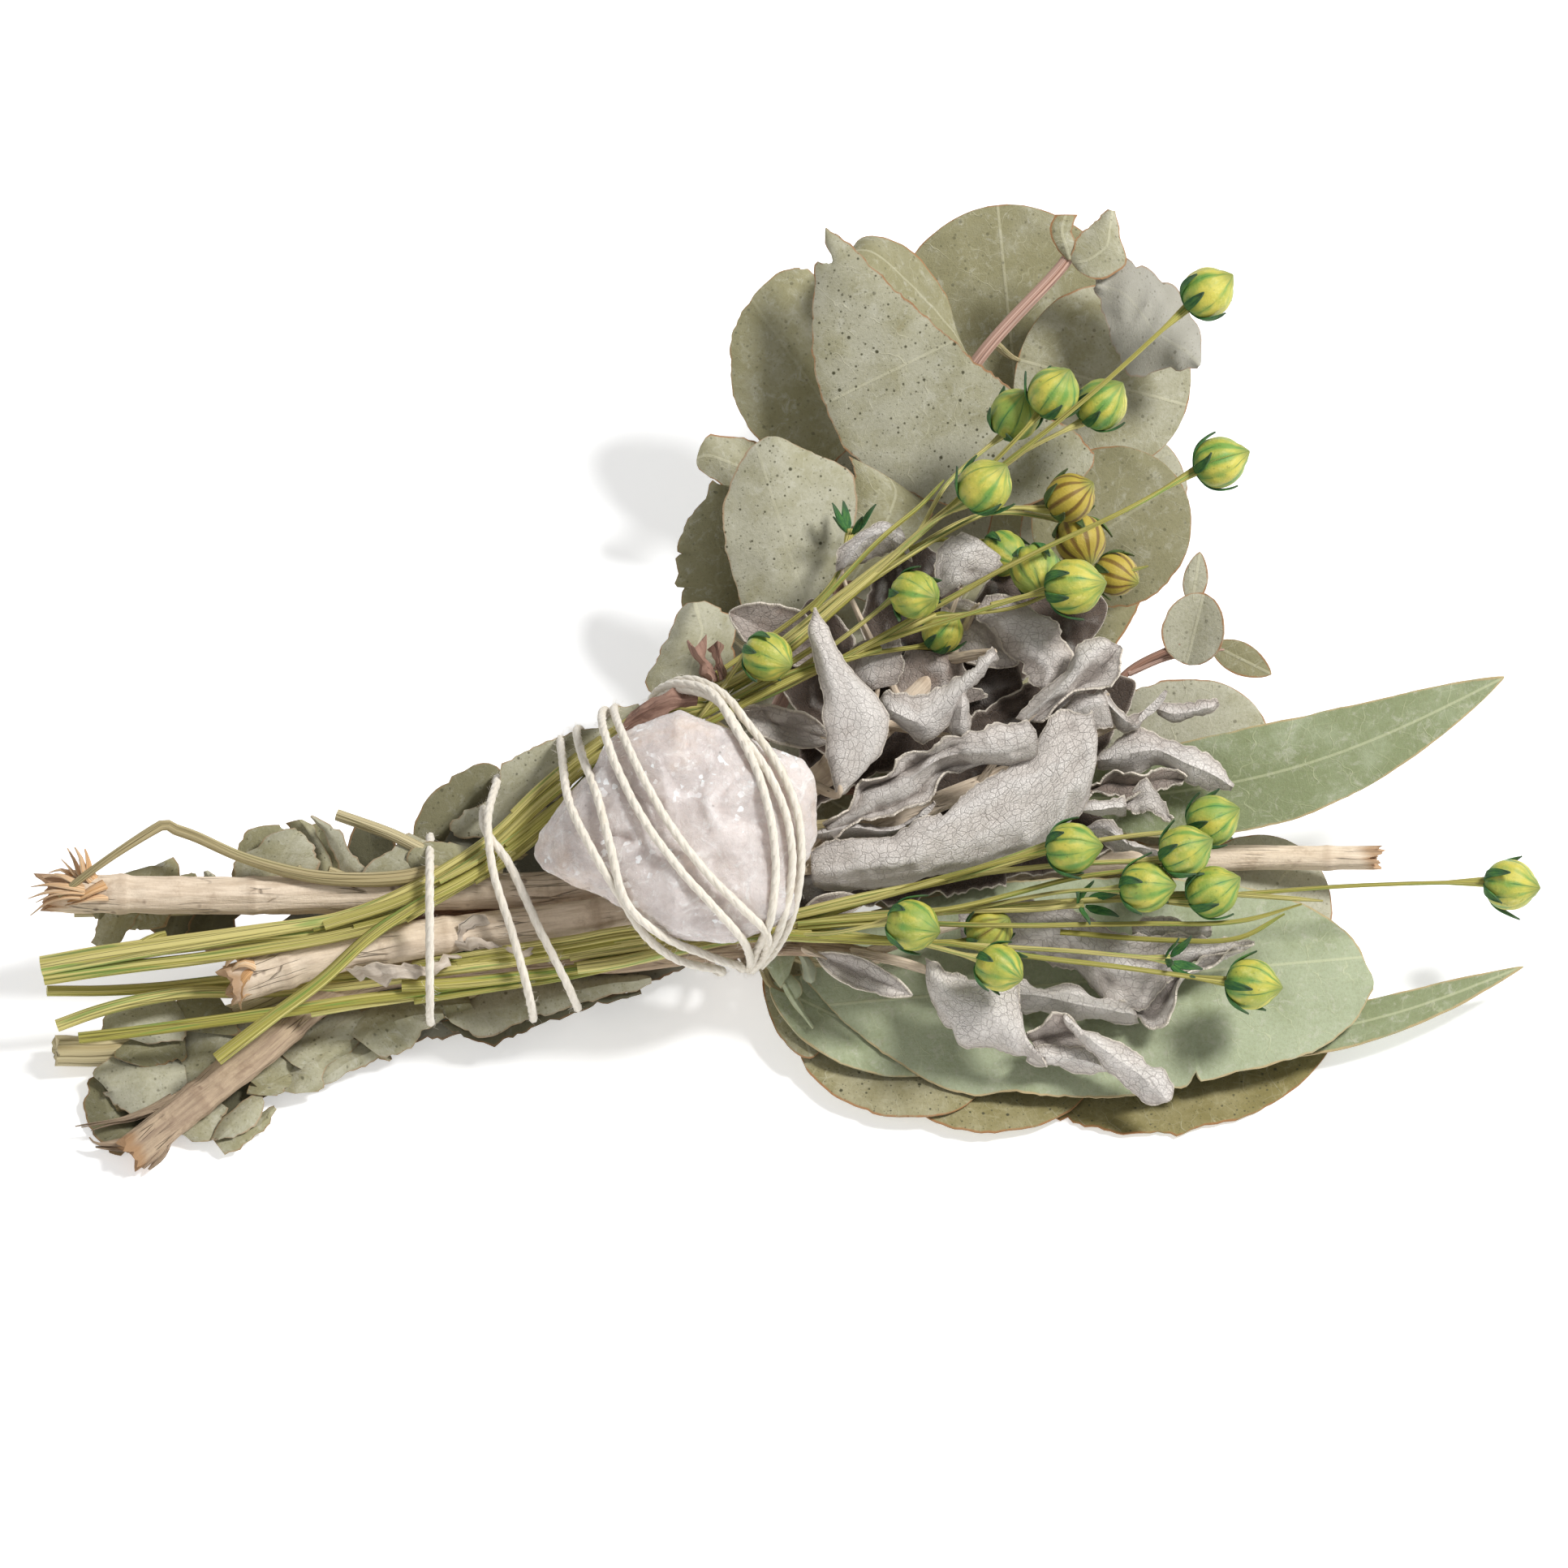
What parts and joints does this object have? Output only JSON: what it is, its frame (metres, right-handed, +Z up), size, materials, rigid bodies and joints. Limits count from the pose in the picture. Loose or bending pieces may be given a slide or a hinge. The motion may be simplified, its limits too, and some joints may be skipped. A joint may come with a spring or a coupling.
{
  "type": "tied bunch of dried herbs",
  "caption": "Dried bunch of woody sage sprigs, round and lance eucalyptus leaves and dyed flax pods, lying down, tied with cotton string over a raw rose quartz stone.",
  "frame": {"origin": "on the surface it lies on, under the middle of the bounding box", "axes": "+X from the cut stem ends towards the leafy head, +Y from the side nearest the viewer to the back, +Z up"},
  "size_m": [0.2162, 0.1426, 0.0654],
  "materials": {
    "cotton": "twisted, matt",
    "rose_quartz": "rough broken crystal, slightly see-through",
    "flax": "dry, dyed green in patches",
    "sage": "felted, matt",
    "woody_stem": "dry, ridged",
    "lance_leaf": "smooth, waxy bloom",
    "round_leaf": "dry, matt"
  },
  "bodies": {
    "root": {"cotton_string": "cotton", "rose_quartz": "rose_quartz", "flax_upper": "flax", "flax_lower": "flax", "sage_sprig_lower": "sage", "sage_sprig_upper": "sage", "sage_sprig_low": "sage", "sage_stem_stub": "woody_stem", "sage_stem_through": "woody_stem", "eucalyptus_lance_upper": "lance_leaf", "eucalyptus_lance_lower": "lance_leaf", "eucalyptus_round_top": "round_leaf", "eucalyptus_round_low": "round_leaf", "eucalyptus_small_spray": "round_leaf", "eucalyptus_round_back": "round_leaf", "handle_leaves_upper": "round_leaf", "handle_leaves_under": "round_leaf", "handle_leaves_low": "round_leaf"}
  },
  "joints": []
}
